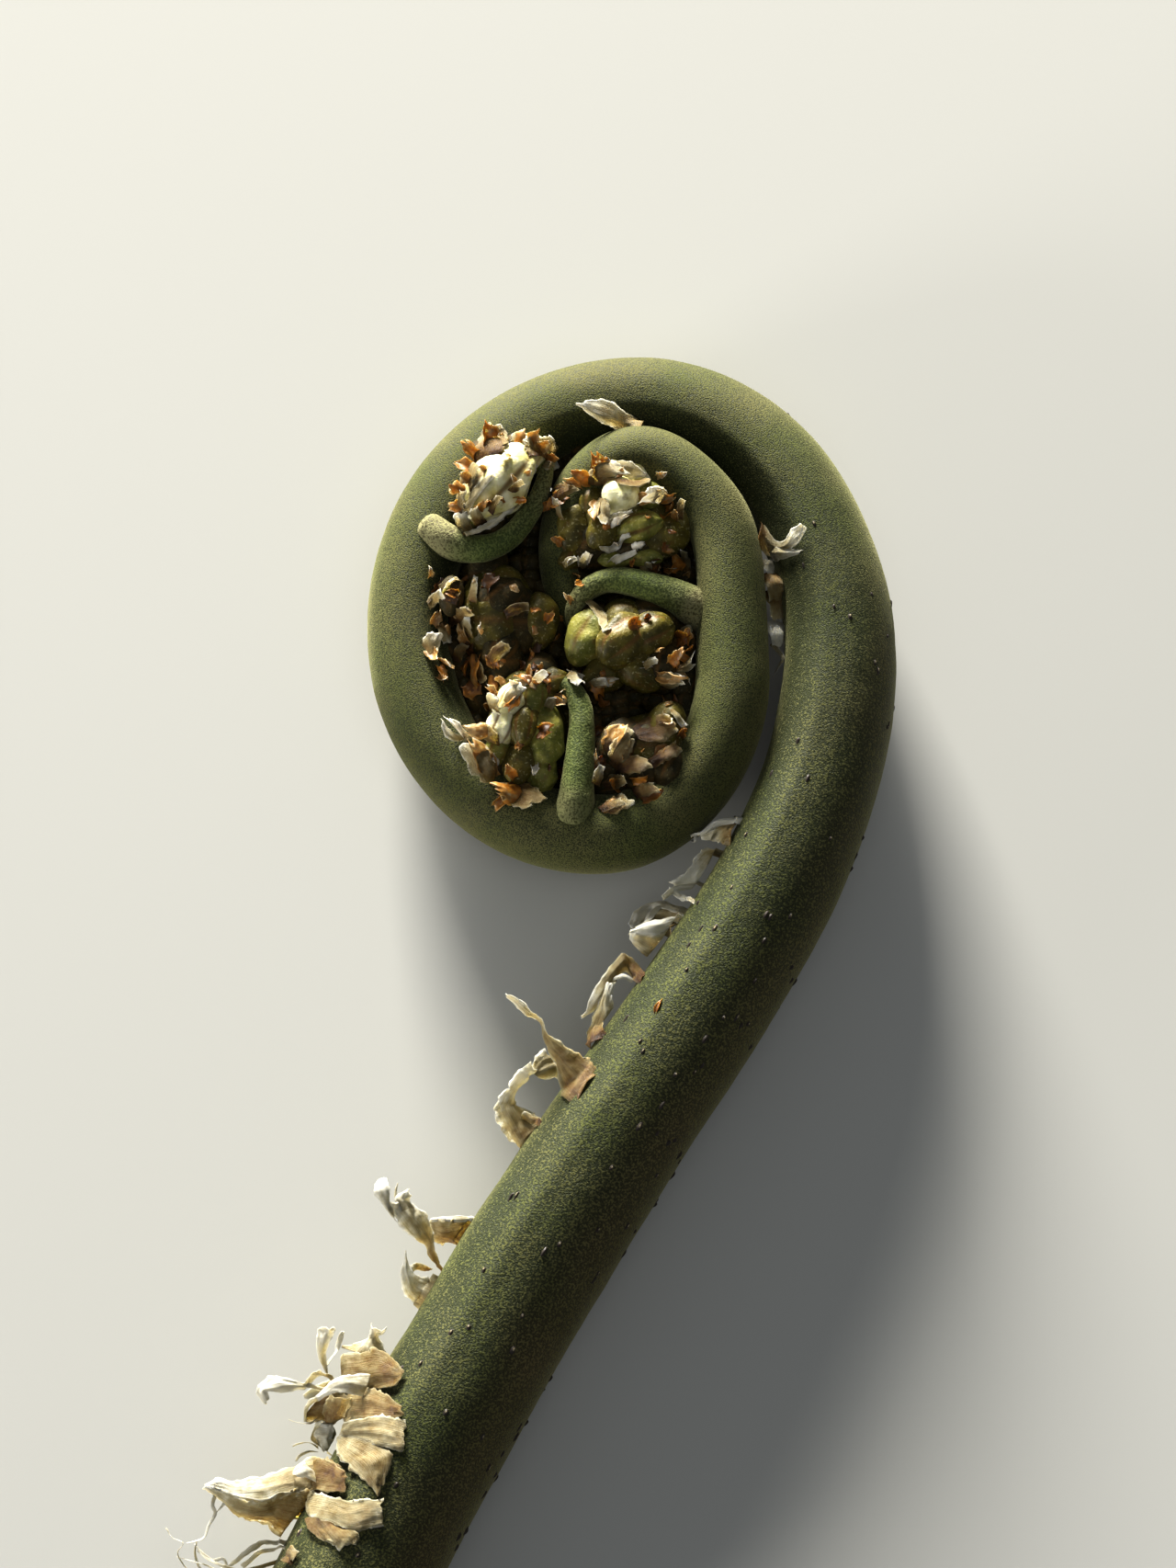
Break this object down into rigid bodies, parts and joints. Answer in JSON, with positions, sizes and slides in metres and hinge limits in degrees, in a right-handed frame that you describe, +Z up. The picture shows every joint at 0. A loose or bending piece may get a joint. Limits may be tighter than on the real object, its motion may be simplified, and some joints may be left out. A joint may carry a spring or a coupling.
{
  "type": "tree fern crozier",
  "caption": "Coiled young frond tip of a tree fern on a cut length of stalk, with curled side fronds in the coil and papery scales along the stalk, lying flat.",
  "frame": {"origin": "middle of the bounding box in plan, on the surface the crozier lies on", "axes": "+Y from the cut end of the stalk towards the coil, +Z up from the surface, the coil in the XY plane"},
  "size_m": [0.106, 0.202, 0.0236],
  "materials": {
    "stalk_skin": "matt felted skin",
    "pinna_skin": "matt felted skin",
    "bud": "moist, slightly glossy leaflet tissue",
    "scale": "thin dry papery scale"
  },
  "bodies": {
    "root": {"stalk_lower": "stalk_skin", "stalk_upper": "stalk_skin", "stalk_bend": "stalk_skin", "coil_right": "stalk_skin", "coil_top": "stalk_skin", "coil_left": "stalk_skin", "coil_bottom": "stalk_skin", "coil_foot": "stalk_skin", "inner_right": "stalk_skin", "inner_top": "stalk_skin", "inner_left": "stalk_skin", "coil_tip": "stalk_skin", "pinna_a_stem": "pinna_skin", "pinna_a_stem_lower": "pinna_skin", "pinna_b_stem": "pinna_skin", "pinna_b_stem_lower": "pinna_skin", "pinna_c_stem": "pinna_skin", "pinna_c_stem_lower": "pinna_skin", "pinna_a_bud": "bud", "pinna_a_bud_lower": "bud", "pinna_b_bud": "bud", "pinna_b_bud_lower": "bud", "pinna_c_bud": "bud", "pinna_c_bud_lower": "bud", "bud_top": "bud", "bud_top_lower": "bud", "bud_left": "bud", "bud_left_lower": "bud", "bud_foot": "bud", "bud_foot_lower": "bud", "scales_a": "scale", "scales_b": "scale", "scales_c": "scale", "scales_d": "scale", "scales_e": "scale", "scales_f": "scale", "scales_g": "scale", "scales_h": "scale", "scales_i": "scale", "scales_i_flaps": "scale", "scales_j": "scale", "scales_j_flaps": "scale", "scales_k": "scale", "scales_l": "scale", "scales_m": "scale", "scales_n": "scale", "scales_gap": "scale", "scales_arch": "scale"}
  },
  "joints": []
}
